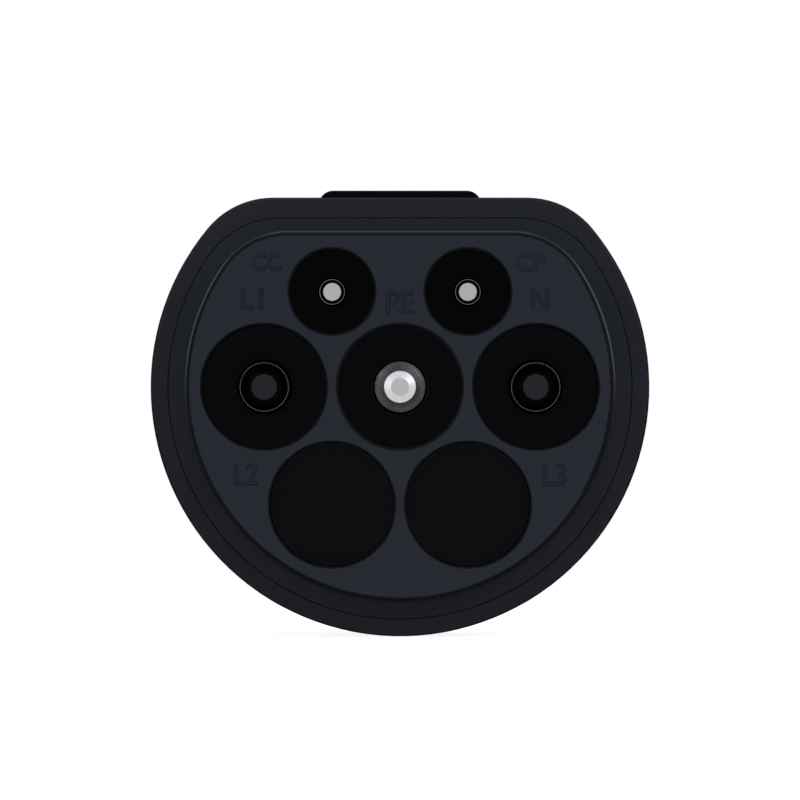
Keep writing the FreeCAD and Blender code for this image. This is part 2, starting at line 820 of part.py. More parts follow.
def inlet_pin(label, where, radius, reach_out, crimp_extra, core):
    """A pin of the inlet: round tip, collar in the floor, crimp barrel inside the shell."""
    barrel_end = "-retainer_thickness - crimp_length"
    profile = [
        ("0", reach_out),
        (f"{radius} - {radius} * inlet_tip_share", reach_out),
        (f"{radius} - {radius} * inlet_shoulder_share", f"{reach_out} - {radius} * inlet_shoulder_share"),
        (radius, f"{reach_out} - {radius} * inlet_taper_share"),
        (radius, "inlet_floor"),
        (f"{radius} + pin_land_extra", "inlet_floor - pin_land_taper"),
        (f"{radius} + pin_land_extra", "inlet_collar_thickness"),
        (f"{radius} + inlet_collar_extra", "inlet_collar_thickness"),
        (f"{radius} + inlet_collar_extra", "0"),
        (f"{core} + {crimp_extra}", "0"),
        (f"{core} + {crimp_extra}", barrel_end),
        (f"{core} + core_gap", barrel_end),
        (f"{core} + core_gap", f"{barrel_end} + crimp_depth"),
        ("0", f"{barrel_end} + crimp_depth"),
    ]
    return stand_at(turned(label, profile), where, "inlet")


def rear_inlet():
    """The round inlet: flange, locating spigot, shroud, inner cup and the catch on top."""
    body = new_body("rear_inlet")
    axis = [("0", "0")]
    outline_pad(body, "inlet_flange", "0", "inlet_flange_thickness", *shell_shape, rise="inlet_drop")
    dress(
        body, "flange_edge", "Fillet", "edge_round",
        lambda edge: lies_at(edge, "inlet_flange_thickness") and is_flange_rim(edge),
    )
    spigot = new_sketch(body, "spigot", "-spigot_length")
    outline(spigot, *shell_shape, inset="shell_wall + seat_gap", rise="inlet_drop")
    outline(spigot, *shell_shape, inset="shell_wall + seat_gap + spigot_wall", rise="inlet_drop")
    pad(body, spigot, "spigot_length")
    posts(body, "shroud", axis, "shroud_radius", "inlet_flange_thickness", "inlet_back")
    catch(body)
    annulus = new_sketch(body, "annulus", "inlet_floor")
    circles(annulus, axis, "shroud_bore")
    circles(annulus, axis, "cup_radius")
    pocket(body, annulus, "inlet_back - inlet_floor")
    holes(body, "cup", axis, "cup_bore", "inlet_floor", "inlet_back")
    rim = new_sketch(body, "cup_rim", "inlet_back - cup_recess")
    circles(rim, axis, "shroud_bore")
    pocket(body, rim, "cup_recess")
    for name, places in (("corner", corner_screws_at), ("flank", flank_screws_at)):
        notch = f"{name}_boss_radius + spigot_notch_gap"
        holes(body, name + "_notches", raised(places, "inlet_drop"), notch, "-spigot_length", "0")
    screws = raised(corner_screws_at + flank_screws_at, "inlet_drop")
    clear = "housing_screw_radius + screw_hole_gap"
    holes(body, "screw_holes", screws, clear, "0", "inlet_flange_thickness")
    inlet_pin_holes(body)
    groove = new_sketch(body, "rim_seal_groove", "0")
    outline(groove, *shell_shape, inset="rim_seal_inset - seal_gap", rise="inlet_drop")
    outline(groove, *shell_shape, inset="rim_seal_inset + rim_seal_width + seal_gap", rise="inlet_drop")
    pocket(body, groove, "seal_thickness")
    dress(
        body, "shroud_mouth", "Chamfer", "mouth_chamfer",
        lambda edge: lies_at(edge, "inlet_back") and abs(reach(edge) - value("shroud_bore")) < same_place,
    )
    return at_inlet(body)


def is_flange_rim(edge):
    moved = edge.copy()
    moved.translate(Vector(0, 0, -value("inlet_drop")))
    return is_outermost(moved)


def rounded_block(sketch, width, foot, top, corner):
    """A block's section whose two upper corners are rounded."""
    half, low, high, small = value(width) / 2, value(foot), value(top), value(corner)
    out = Vector(0, 0, 1)
    middle = Vector(half - small, high - small, 0)
    mirrored = Vector(small - half, high - small, 0)
    shapes = [
        Part.LineSegment(Vector(-half, low, 0), Vector(half, low, 0)),
        Part.LineSegment(Vector(half, low, 0), Vector(half, high - small, 0)),
        Part.ArcOfCircle(Part.Circle(middle, out, small), 0, pi / 2),
        Part.LineSegment(Vector(half - small, high, 0), Vector(small - half, high, 0)),
        Part.ArcOfCircle(Part.Circle(mirrored, out, small), pi / 2, pi),
        Part.LineSegment(Vector(-half, high - small, 0), Vector(-half, low, 0)),
    ]
    base, right, first_arc, lid, second_arc, left = sketch.addGeometry(shapes, False)
    sketch.addConstraint(Sketcher.Constraint("Coincident", base, 2, right, 1))
    sketch.addConstraint(Sketcher.Constraint("Coincident", left, 2, base, 1))
    for one, other in ((right, first_arc), (first_arc, lid), (lid, second_arc), (second_arc, left)):
        sketch.addConstraint(Sketcher.Constraint("Tangent", one, 2, other, 1))
    sketch.addConstraint(Sketcher.Constraint("Horizontal", base))
    sketch.addConstraint(Sketcher.Constraint("Horizontal", lid))
    sketch.addConstraint(Sketcher.Constraint("Vertical", right))
    sketch.addConstraint(Sketcher.Constraint("Vertical", left))
    hold(sketch, "DistanceX", (-1, 1, base, 2), f"{width} / 2")
    hold(sketch, "DistanceX", (base, 1, base, 2), width)
    hold(sketch, "DistanceY", (-1, 1, base, 2), foot)
    hold(sketch, "DistanceY", (-1, 1, lid, 1), top)
    hold(sketch, "Radius", (first_arc,), corner)


def catch(body):
    """A raised block: rounded shoulders, undercut front, ramp to the mouth and a pocket for the hook."""
    start = "inlet_flange_thickness"
    front = f"{start} - edge_round"
    crest = f"{start} + catch_length"
    ramp_foot = f"{crest} + catch_ramp_length"
    section = new_sketch(body, "catch_section", front)
    rounded_block(section, "catch_width", "catch_foot", "catch_height", "catch_round")
    pad(body, section, "edge_round + catch_length + catch_ramp_length")
    ramp = new_sketch(body, "ramp", role="YZ_Plane")
    over = "catch_height + catch_round"
    foot = (ramp_foot, "shroud_radius")
    lines(ramp, [(crest, "catch_height"), foot, (ramp_foot, over), (crest, over)])
    pocket(body, ramp, "catch_width + catch_round").SideType = "Symmetric"
    undercut = new_sketch(body, "undercut", role="YZ_Plane")
    foot_height = "catch_height - catch_rise"
    lines(undercut, [(front, "catch_height"), (front, foot_height), (f"{front} + catch_lean", foot_height)])
    pocket(body, undercut, "catch_width + catch_round").SideType = "Symmetric"
    recess = new_sketch(body, "hook_recess", role="XY_Plane")
    bind(recess, ".AttachmentOffset.Base.z", "catch_height")
    near = f"{start} + hook_recess_start"
    far = f"{near} + hook_recess_length"
    left, right = "-hook_recess_width / 2", "hook_recess_width / 2"
    lines(recess, [(left, near), (right, near), (right, far), (left, far)])
    pocket(body, recess, "hook_recess_depth")


def inlet_pin_holes(body):
    """Holes through the inlet's floor for its five pins, with seats for their collars."""
    groups = (
        ("inlet_power", [inlet_line_at, inlet_neutral_at], "inlet_power_radius"),
        ("inlet_earth", [inlet_earth_at], "inlet_earth_radius"),
        ("inlet_signal", [inlet_pilot_at, inlet_proximity_at], "inlet_signal_radius"),
    )
    for name, places, radius in groups:
        collar = f"{radius} + inlet_collar_extra + seat_gap"
        holes(body, name + "_seats", places, collar, "0", "inlet_collar_thickness")
        land = f"{radius} + pin_land_extra + seat_gap"
        holes(body, name + "_holes", places, land, "inlet_collar_thickness", "inlet_floor")
    pilots = "retainer_screw_grip - retainer_thickness"
    holes(body, "inlet_plate_pilots", inlet_plate_screws_at, "retainer_screw_radius", "0", pilots)


def inlet_retainer():
    """The round plate that traps the collars of the inlet's pins."""
    body = new_body("inlet_retainer")
    start, end = "-retainer_thickness", "0"
    posts(body, "inlet_plate", [("0", "0")], "inlet_plate_radius", start, end)
    power = [inlet_line_at, inlet_neutral_at, inlet_earth_at]
    signal = [inlet_pilot_at, inlet_proximity_at]
    barrel = "power_core_radius + inlet_crimp_extra + seat_gap"
    holes(body, "power_barrels", power, barrel, start, end)
    barrel = "signal_core_radius + inlet_crimp_extra_signal + seat_gap"
    holes(body, "signal_barrels", signal, barrel, start, end)
    clear = "retainer_screw_radius + screw_hole_gap"
    holes(body, "inlet_plate_holes", inlet_plate_screws_at, clear, start, end)
    return at_inlet(body)


def inlet_gasket():
    body = new_body("inlet_gasket")
    sketch = new_sketch(body, "rim_seal", "0")
    outline(sketch, *shell_shape, inset="rim_seal_inset", rise="inlet_drop")
    outline(sketch, *shell_shape, inset="rim_seal_inset + rim_seal_width", rise="inlet_drop")
    pad(body, sketch, "seal_thickness")
    return at_inlet(body)


def groove_seal():
    """The rubber ring that the connector's nose presses against."""
    body = new_body("groove_seal")
    sketch = new_sketch(body, "seal_ring", "inlet_floor")
    circles(sketch, [("0", "0")], "shroud_bore - seal_gap")
    circles(sketch, [("0", "0")], "cup_radius + seal_gap")
    pad(body, sketch, "groove_seal_thickness")
    return at_inlet(body)


def housing_screws():
    """Four pan-head screws with a hexagon socket, seen around the shroud."""
    places = raised(corner_screws_at + flank_screws_at, "inlet_drop")
    face = "inlet_flange_thickness"
    body = screw_set(
        "housing_screws", places, "housing_head_radius", face, f"{face} + housing_head_height",
        "housing_screw_radius - core_gap", "-housing_screw_grip + seat_gap", face,
    )
    sockets = new_sketch(body, "sockets", f"{face} + housing_head_height - housing_socket_depth")
    for across, up in places:
        hexagon(sockets, across, up, "housing_socket_radius")
    pocket(body, sockets, "housing_socket_depth")
    return at_inlet(body)


def retainer_screws(label, places, head_start, head_end, shank_start, shank_end):
    return screw_set(
        label, places, "retainer_head_radius", head_start, head_end,
        "retainer_screw_radius - core_gap", shank_start, shank_end,
    )


def front_parts():
    nose_block()
    nose_gasket()
    earth_pin()
    power_pin("pin_line", line_at)
    power_pin("pin_neutral", neutral_at)
    tip_cap("tip_cap_line", line_at)
    tip_cap("tip_cap_neutral", neutral_at)
    signal_pin("pin_pilot", pilot_at)
    signal_pin("pin_confirm", confirm_at)
    front_retainer()
    at_nose(
        retainer_screws(
            "front_retainer_screws", retainer_screws_at,
            "retainer_back", "retainer_back + retainer_head_height",
            "nose_block_length - retainer_screw_grip + seat_gap", "retainer_back",
        )
    )
    resistor_board()
    coding_resistor()
    resistor_leads()


def wires():
    thick = ("power_wire_radius", "power_core_radius", 0)
    thin = ("signal_wire_radius", "signal_core_radius", value("signal_wire_swing"))
    wire("wire_line", line_at, inlet_line_at, *thick)
    wire("wire_neutral", neutral_at, inlet_neutral_at, *thick)
    wire("wire_earth", earth_at, inlet_earth_at, *thick)
    wire("wire_pilot", pilot_at, inlet_pilot_at, *thin)
    wire("wire_proximity", confirm_at, inlet_proximity_at, *thin)


def rear_parts():
    rear_inlet()
    thick = ("inlet_crimp_extra", "power_core_radius")
    thin = ("inlet_crimp_extra_signal", "signal_core_radius")
    power = ("inlet_power_radius", "inlet_power_reach", *thick)
    earth = ("inlet_earth_radius", "inlet_earth_reach", *thick)
    signal = ("inlet_signal_radius", "inlet_signal_reach", *thin)
    inlet_pin("inlet_pin_line", inlet_line_at, *power)
    inlet_pin("inlet_pin_neutral", inlet_neutral_at, *power)
    inlet_pin("inlet_pin_earth", inlet_earth_at, *earth)
    inlet_pin("inlet_pin_pilot", inlet_pilot_at, *signal)
    inlet_pin("inlet_pin_proximity", inlet_proximity_at, *signal)
    inlet_retainer()
    at_inlet(
        retainer_screws(
            "inlet_retainer_screws", inlet_plate_screws_at,
            "-retainer_thickness - retainer_head_height", "-retainer_thickness",
            "-retainer_thickness", "retainer_screw_grip - retainer_thickness - seat_gap",
        )
    )
    inlet_gasket()
    groove_seal()
    housing_screws()


def export():
    doc.recompute()
    for thing in doc.Objects:
        if "Invalid" in thing.State or "Error" in thing.State:
            raise RuntimeError(f"{thing.Name} did not compute: {thing.State}")
    for piece in pieces:
        if piece.Shape.isNull() or not piece.Shape.isValid() or not piece.Shape.Solids:
            raise RuntimeError(f"{piece.Label} has no sound solid")
    os.makedirs("parts", exist_ok=True)
    for piece in pieces:
        piece.Shape.exportStep(f"parts/{piece.Label}.step")
        box = piece.Shape.BoundBox
        print(f"{piece.Label}: {len(piece.Shape.Solids)} solids, {piece.Shape.Volume:.1f} mm3, {box}")


front_parts()
shell()
wires()
rear_parts()
export()
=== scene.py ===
from math import pi, radians

import bpy
import numpy as np
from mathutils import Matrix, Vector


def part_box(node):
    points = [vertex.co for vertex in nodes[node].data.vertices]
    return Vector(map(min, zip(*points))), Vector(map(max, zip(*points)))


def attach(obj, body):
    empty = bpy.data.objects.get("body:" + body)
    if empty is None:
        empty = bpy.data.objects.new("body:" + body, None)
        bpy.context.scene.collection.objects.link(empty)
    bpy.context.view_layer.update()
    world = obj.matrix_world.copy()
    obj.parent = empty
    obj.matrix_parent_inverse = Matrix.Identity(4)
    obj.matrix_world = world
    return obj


# A charging adapter: looks, contact marks, light and camera around its CAD pieces.
# Metres throughout. The plug's nose looks along -Y, the round inlet along +Y, Z is up.

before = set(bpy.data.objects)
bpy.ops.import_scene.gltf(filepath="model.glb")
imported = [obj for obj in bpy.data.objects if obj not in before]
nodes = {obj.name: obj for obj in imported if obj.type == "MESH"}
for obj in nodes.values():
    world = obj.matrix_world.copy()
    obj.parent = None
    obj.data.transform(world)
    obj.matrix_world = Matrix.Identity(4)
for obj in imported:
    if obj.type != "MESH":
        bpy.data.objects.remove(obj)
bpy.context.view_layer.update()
mm = 0.001
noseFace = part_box("nose_block")[0].y
earthMiddle = (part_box("pin_earth")[0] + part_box("pin_earth")[1]) / 2
print("CAD pieces:", len(nodes))


def linearColour(hexCode):
    # sRGB hex to linear red, green and blue, with alpha 1
    shares = [int(hexCode[place:place + 2], 16) / 255 for place in (1, 3, 5)]
    return tuple(s / 12.92 if s <= 0.04045 else ((s + 0.055) / 1.055) ** 2.4 for s in shares) + (1.0,)


def addNode(tree, kind, inputs=None, **settings):
    # a node with its settings; each input gets a value or another node's output
    node = tree.nodes.new("ShaderNode" + kind)
    for name, setting in settings.items():
        setattr(node, name, setting)
    for name, given in (inputs or {}).items():
        if isinstance(given, bpy.types.NodeSocket):
            tree.links.new(given, node.inputs[name])
        else:
            node.inputs[name].default_value = given
    return node


def newMaterial(name):
    material = bpy.data.materials.new(name)
    material.use_nodes = True
    material.node_tree.nodes.clear()
    return material, material.node_tree


def dressPiece(piece, material):
    piece.data.materials.clear()
    piece.data.materials.append(material)


def maths(tree, operation, *values):
    return addNode(tree, "Math", dict(enumerate(values)), operation=operation).outputs["Value"]


def mapSpan(tree, value, given, wanted=(0.0, 1.0)):
    # one span of values becomes another, and nothing goes past its ends
    return addNode(tree, "MapRange", {
        "Value": value,
        "From Min": given[0],
        "From Max": given[1],
        "To Min": wanted[0],
        "To Max": wanted[1],
    }).outputs["Result"]


def softNoise(tree, place, sizeMm, detail, roughness=0.5):
    return addNode(tree, "TexNoise", {
        "Vector": place, "Scale": 1 / (sizeMm * mm), "Detail": detail, "Roughness": roughness,
    }).outputs["Fac"]


def brightened(tree, colour, value):
    return addNode(tree, "HueSaturation", {"Color": colour, "Value": value}).outputs["Color"]


def mixedColour(tree, share, first, second):
    # the colour sockets of a Mix node come after its number and vector sockets
    return addNode(tree, "Mix", {"Factor": share, 6: first, 7: second}, data_type="RGBA").outputs[2]


noiseSpan = (0.3, 0.7)  # most of a noise node's values lie between these
bevelSamples = 6


def spreadRoughness(tree, noise, look):
    # the noise moves the roughness up and down by the look's spread
    middle, spread = look["roughness"], look["roughnessSpread"]
    return mapSpan(tree, noise, noiseSpan, (middle - spread, middle + spread))


def bumpedNormal(tree, height, strength, depthMm, cornerMm=0):
    # the height bends the normal. Given a corner radius, a Bevel node rounds the corners
    # first, because no moulded or turned corner is truly sharp
    inputs = {"Strength": strength, "Distance": depthMm * mm, "Height": height}
    if cornerMm:
        rounded = addNode(tree, "Bevel", {"Radius": cornerMm * mm}, samples=bevelSamples)
        inputs["Normal"] = rounded.outputs["Normal"]
    return addNode(tree, "Bump", inputs).outputs["Normal"]


def showSurface(tree, inputs):
    shader = addNode(tree, "BsdfPrincipled", inputs)
    addNode(tree, "OutputMaterial", {"Surface": shader.outputs["BSDF"]})


def paintedShadeAndFinishBand(tree, place, band, colour, roughness):
    # by how far a point lies behind the nose's face: nothing before the band starts, full
    # from fullMm to fallMm, and nothing again after it ends
    behind = addNode(tree, "SeparateXYZ", {"Vector": place}).outputs["Y"]
    start, full, fall, end = (noseFace + band[key] * mm for key in ("startMm", "fullMm", "fallMm", "endMm"))
    share = maths(tree, "MULTIPLY", mapSpan(tree, behind, (start, full)), mapSpan(tree, behind, (end, fall)))
    blend = addNode(tree, "Mix", {"Factor": share, 2: roughness, 3: band["roughness"]}, data_type="FLOAT")
    # painted shade: where the band's shade is below 1 it darkens the colour
    return brightened(tree, colour, mapSpan(tree, share, (0, 1), (1, band["shade"]))), blend.outputs[0]


pitsPerGrain = 1.7  # a pit of the moulded skin is this much wider than its grain


def mouldedPlastic(name, look):
    # a moulded skin: two close tones in slow clouds, and a fine grain with pits in the normal
    material, tree = newMaterial(name)
    place = addNode(tree, "TexCoord").outputs["Object"]
    clouds = softNoise(tree, place, look["cloudMm"], detail=3.0)
    grain = softNoise(tree, place, look["grainMm"], detail=2.0, roughness=0.6)
    pits = addNode(tree, "TexVoronoi", {
        "Vector": place, "Scale": 1 / (look["grainMm"] * pitsPerGrain * mm),
    }, feature="SMOOTH_F1")
    colour = mixedColour(tree, clouds, linearColour(look["darkTone"]), linearColour(look["lightTone"]))
    roughness = spreadRoughness(tree, grain, look)
    # each band darkens the colour as painted shade and sets its own roughness
    for band in look.get("bands", {}).values():
        colour, roughness = paintedShadeAndFinishBand(tree, place, band, colour, roughness)
    height = maths(tree, "ADD", grain, pits.outputs["Distance"])
    showSurface(tree, {
        "Base Color": colour,
        "Roughness": roughness,
        "IOR": look["ior"],
        "Specular IOR Level": look["specular"],
        "Normal": bumpedNormal(tree, height, look["grainStrength"], look["grainDepthMm"], look["cornerMm"]),
    })
    return material


# Nose: glass-filled polyamide moulded in a fine spark-eroded cavity. A matt blue-black
# that scatters what it mirrors so widely that the deep wells stay dark.
noseLook = {
    "darkTone": "#1d2230",
    "lightTone": "#212636",
    "bands": {
        # the lip and the wells' mouths stayed rough from the spark: dull there, and painted shade darkens
        # their colour
        "paintedShadeRim": {
            "startMm": 0.005, "fullMm": 0.04, "fallMm": 0.8, "endMm": 1.6,
            "shade": 0.25, "roughness": 0.9,
        },
        # the cavity's parting edge runs along the lip's round: a hairline that catches the light
        "glint": {
            "startMm": 0.18, "fullMm": 0.22, "fallMm": 0.4, "endMm": 0.47,
            "shade": 1.0, "roughness": 0.3,
        },
        # the wells' floors come from the cores' ground ends: a little smoother
        "floor": {
            "startMm": 27.5, "fullMm": 27.6, "fallMm": 90, "endMm": 91,
            "shade": 1.0, "roughness": 0.44,
        },
    },
    "cloudMm": 9,
    "grainMm": 0.22,  # real grain is about 0.05 mm; drawn coarser so that it shows
    "grainStrength": 0.25,
    "grainDepthMm": 0.02,
    "roughness": 0.5,
    "roughnessSpread": 0.05,
    "cornerMm": 0.06,
    "ior": 1.53,
    "specular": 0.28,
}

# Shell: the same polyamide with a coarser eroded texture, which looks a little greyer
shellLook = {
    "darkTone": "#1e212c",
    "lightTone": "#222533",
    "bands": {
        # the outer half of the front edge's round, as rough as the nose's lip and darkened by the same
        # painted shade
        "edge": {
            "startMm": 27.1, "fullMm": 27.14, "fallMm": 27.4, "endMm": 27.6,
            "shade": 0.25, "roughness": 0.9,
        },
    },
    "cloudMm": 12,
    "grainMm": 0.35,  # real grain is about 0.12 mm; drawn coarser so that it shows
    "grainStrength": 0.4,
    "grainDepthMm": 0.03,
    "roughness": 0.54,
    "roughnessSpread": 0.06,
    "cornerMm": 0.08,
    "ior": 1.53,
    "specular": 0.28,
}

# Rear inlet: polycarbonate blend from a polished cavity. Deep black with tight highlights.
inletLook = {
    "darkTone": "#060607",
    "lightTone": "#09090b",
    "cloudMm": 15,
    "grainMm": 0.6,
    "grainStrength": 0.06,
    "grainDepthMm": 0.01,
    "roughness": 0.2,
    "roughnessSpread": 0.03,
    "cornerMm": 0.25,
    "ior": 1.58,
    "specular": 0.4,
}

# Touch guards: thermoplastic, smooth moulded, as matt as the nose around them
guardLook = {
    "darkTone": "#10131c",
    "lightTone": "#141822",
    "cloudMm": 3,
    "grainMm": 0.15,
    "grainStrength": 0.15,
    "grainDepthMm": 0.01,
    "roughness": 0.42,
    "roughnessSpread": 0.03,
    "cornerMm": 0.06,
    "ior": 1.5,
    "specular": 0.36,
}

# Retainer plates: glass-filled polyamide, off-white fibres just under a plain black skin
plateLook = {
    "darkTone": "#191a1c",
    "lightTone": "#2a2b2e",
    "cloudMm": 1.6,
    "grainMm": 0.3,
    "grainStrength": 0.3,
    "grainDepthMm": 0.02,
    "roughness": 0.55,
    "roughnessSpread": 0.08,
    "cornerMm": 0.1,
    "ior": 1.53,
    "specular": 0.45,
}

for pieceName, look in (
    ("nose_block", noseLook),
    ("housing_shell", shellLook),
    ("rear_inlet", inletLook),
    ("tip_cap_line", guardLook),
    ("tip_cap_neutral", guardLook),
    ("front_retainer", plateLook),
    ("inlet_retainer", plateLook),
):
    dressPiece(nodes[pieceName], mouldedPlastic("moulded_" + pieceName, look))
print("moulded plastics done")


stepMm = 0.02  # a step in the painted shade is this wide


def shadeBeyond(tree, colour, radius, startMm, shade):
    # the same colour up to a distance from the axis, and shade times as bright past it
    step = mapSpan(tree, radius, ((startMm - stepMm) * mm, startMm * mm), (1, shade))
    return brightened(tree, colour, step)


def turnedMetal(name, look, axisX, axisZ, steps=()):
    # lathe marks: a sine of the distance along the axis plus the distance from it, so the
    # rings run round the shank and stay concentric on a flat tip; slow noise tarnishes it
    material, tree = newMaterial(name)
    place = addNode(tree, "TexCoord").outputs["Object"]
    centred = addNode(tree, "Mapping", {"Vector": place, "Location": (-axisX, 0, -axisZ)}).outputs["Vector"]
    flat = addNode(tree, "VectorMath", {0: centred, 1: (1, 0, 1)}, operation="MULTIPLY").outputs["Vector"]
    radius = addNode(tree, "VectorMath", {0: flat}, operation="LENGTH").outputs["Value"]
    along = addNode(tree, "SeparateXYZ", {"Vector": centred}).outputs["Y"]
    turn = 2 * pi / (look["feedMm"] * mm)
    rings = maths(tree, "SINE", maths(tree, "MULTIPLY", maths(tree, "ADD", radius, along), turn))
    tarnish = softNoise(tree, place, look["tarnishMm"], detail=4.0, roughness=0.6)
    colour = mixedColour(tree, tarnish, linearColour(look["brightTone"]), linearColour(look["dullTone"]))
    # painted shade and painted highlight on the pins' tips, ring by ring from the axis
    for startMm, shade in steps:
        colour = shadeBeyond(tree, colour, radius, startMm, shade)
    showSurface(tree, {
        "Base Color": colour,
        "Metallic": 1.0,
        "Roughness": spreadRoughness(tree, tarnish, look),
        "Normal": bumpedNormal(tree, rings, look["ringStrength"], look["ringDepthMm"], look["cornerMm"]),
    })
    return material


# Contact pins: copper alloy, turned and silver-plated. A soft white metal whose flat tips
# return the room in front as an even light grey.
silverLook = {
    "brightTone": "#eff1f3",
    "dullTone": "#dfe1e4",
    "tarnishMm": 2.5,
    "feedMm": 0.2,  # a real finishing feed is about 0.05 mm; drawn coarser so that it shows
    # painted shade and painted highlight: the tips' colour is darkened past some steps and brightened
    # past others: the distance from the axis in mm, and what the brightness is multiplied by from there on
    "steps": {
        "pin_pilot": ((1.32, 0.2), (1.44, 2.4), (1.53, 0.3)),
        "pin_confirm": ((1.32, 0.2), (1.44, 2.4), (1.53, 0.3)),
        "pin_line": ((2.84, 0.4), (3.03, 0.3)),
        "pin_neutral": ((2.84, 0.4), (3.03, 0.3)),
        "pin_earth": ((1.9, 0.42), (2.1, 1.25), (2.3, 1.3), (2.5, 1.35), (2.7, 1.1), (3.03, 0.3)),
    },
    "ringStrength": 0.15,
    "ringDepthMm": 0.002,
    "roughness": 0.26,
    "roughnessSpread": 0.04,
    "cornerMm": 0.05,
}

# Screws: stainless steel, cold-headed and left plain, greyer and a little duller
steelLook = {
    "brightTone": "#bdbdba",
    "dullTone": "#98989a",
    "tarnishMm": 0.9,
    "feedMm": 0.15,
    "ringStrength": 0.2,
    "ringDepthMm": 0.003,
    "roughness": 0.32,
    "roughnessSpread": 0.06,
    "cornerMm": 0.15,
}


def axisOf(piece):
    low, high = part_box(piece)
    return (low.x + high.x) / 2, (low.z + high.z) / 2


for pieceName in sorted(nodes):
    if "pin_" in pieceName:
        steps = silverLook["steps"].get(pieceName, ())
        finish = turnedMetal("silver_" + pieceName, silverLook, *axisOf(pieceName), steps)
        dressPiece(nodes[pieceName], finish)
dressPiece(nodes["resistor_leads"], turnedMetal("silver_leads", silverLook, 0, 0))
for pieceName in ("front_retainer_screws", "inlet_retainer_screws", "housing_screws"):
    dressPiece(nodes[pieceName], turnedMetal("steel_" + pieceName, steelLook, 0, 0))
print("metals done")


# Seals: silicone rubber, compression moulded. Flat black with a bloom of fine grey powder.
rubberLook = {
    "darkTone": "#151515",
    "lightTone": "#1f1f20",
    "cloudMm": 2.2,
    "grainMm": 0.12,
    "grainStrength": 0.2,
    "grainDepthMm": 0.01,
    "roughness": 0.72,
    "roughnessSpread": 0.05,
    "cornerMm": 0.2,
    "ior": 1.41,
    "specular": 0.4,
}

# Board: glass-epoxy laminate under a green solder mask, semi-gloss with the weave just felt
boardLook = {
    "darkTone": "#123a20",
    "lightTone": "#1a4b2b",
    "cloudMm": 1.1,
    "grainMm": 0.4,
    "grainStrength": 0.2,
    "grainDepthMm": 0.01,
    "roughness": 0.35,
    "roughnessSpread": 0.05,
    "cornerMm": 0.08,
    "ior": 1.5,
    "specular": 0.5,
}

for pieceName in ("nose_gasket", "inlet_gasket", "groove_seal"):
    dressPiece(nodes[pieceName], mouldedPlastic("rubber_" + pieceName, rubberLook))
dressPiece(nodes["resistor_board"], mouldedPlastic("solder_mask", boardLook))

# Resistor: a ceramic core dipped in glossy pale blue lacquer, with plain colour bands
resistorLook = {
    "lacquer": "#9fc3cf",
    "bandTones": ("#5a3a24", "#1c1c1e", "#a5312b", "#b08a3c"),
    "bandShare": 0.09,
    "rippleMm": 0.8,
    "rippleStrength": 0.2,
    "rippleDepthMm": 0.02,
    "roughness": 0.22,
}


def bandedLacquer(name, look, low, high):
    # bands: the share of the way along X runs through a stepped ramp of the bands' colours
    material, tree = newMaterial(name)
    place = addNode(tree, "TexCoord").outputs["Object"]
    along = addNode(tree, "SeparateXYZ", {"Vector": place}).outputs["X"]
    ramp = addNode(tree, "ValToRGB", {"Fac": mapSpan(tree, along, (low, high))})
    ramp.color_ramp.interpolation = "CONSTANT"
    stops = ramp.color_ramp.elements
    stops[0].color = linearColour(look["lacquer"])
    stops.remove(stops[1])
    for number, hexCode in enumerate(look["bandTones"]):
        start = (number + 1) / (len(look["bandTones"]) + 1) - look["bandShare"] / 2
        stops.new(start).color = linearColour(hexCode)
        stops.new(start + look["bandShare"]).color = linearColour(look["lacquer"])
    ripple = softNoise(tree, place, look["rippleMm"], detail=1.0)
    showSurface(tree, {
        "Base Color": ramp.outputs["Color"],
        "Roughness": look["roughness"],
        "Normal": bumpedNormal(tree, ripple, look["rippleStrength"], look["rippleDepthMm"]),
    })
    return material


low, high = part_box("coding_resistor")
dressPiece(nodes["coding_resistor"], bandedLacquer("lacquered_resistor", resistorLook, low.x, high.x))

# Wires: cross-linked insulation, extruded. Satin, with faint lines along its run, and
# bare copper where the ends enter the pins' barrels.
wireLook = {
    "tones": {
        "wire_line": "#5b3320",
        "wire_neutral": "#1f4f9c",
        "wire_earth": "#4f9140",
        "wire_pilot": "#8b8d90",
        "wire_proximity": "#7d7f83",
    },
    "copper": "#c9835d",
    "lineMm": 0.5,
    "lineStretch": 20,  # a line is this many times longer than wide
    "lineShade": (0.85, 1.1),
    "lineStrength": 0.15,
    "lineDepthMm": 0.02,
    "roughness": 0.38,
}


def insulatedWire(name, look, hexCode, bareFront, bareBack):
    # copper where Y is ahead of the front end of the insulation or behind its rear end
    material, tree = newMaterial(name)
    place = addNode(tree, "TexCoord").outputs["Object"]
    along = addNode(tree, "SeparateXYZ", {"Vector": place}).outputs["Y"]
    ahead = maths(tree, "LESS_THAN", along, bareFront)
    behind = maths(tree, "GREATER_THAN", along, bareBack)
    bare = maths(tree, "MAXIMUM", ahead, behind)
    drawn = addNode(tree, "Mapping", {"Vector": place, "Scale": (1, 1 / look["lineStretch"], 1)})
    lines = softNoise(tree, drawn.outputs["Vector"], look["lineMm"], detail=2.0)
    coat = brightened(tree, linearColour(hexCode), mapSpan(tree, lines, (0, 1), look["lineShade"]))
    showSurface(tree, {
        "Base Color": mixedColour(tree, bare, coat, linearColour(look["copper"])),
        "Metallic": bare,
        "Roughness": look["roughness"],
        "Normal": bumpedNormal(tree, lines, look["lineStrength"], look["lineDepthMm"]),
    })
    return material


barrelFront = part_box("pin_line")[1].y
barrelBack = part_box("inlet_pin_line")[0].y
for pieceName, hexCode in wireLook["tones"].items():
    finish = insulatedWire("insulation_" + pieceName, wireLook, hexCode, barrelFront, barrelBack)
    dressPiece(nodes[pieceName], finish)
print("seals, board and wires done")


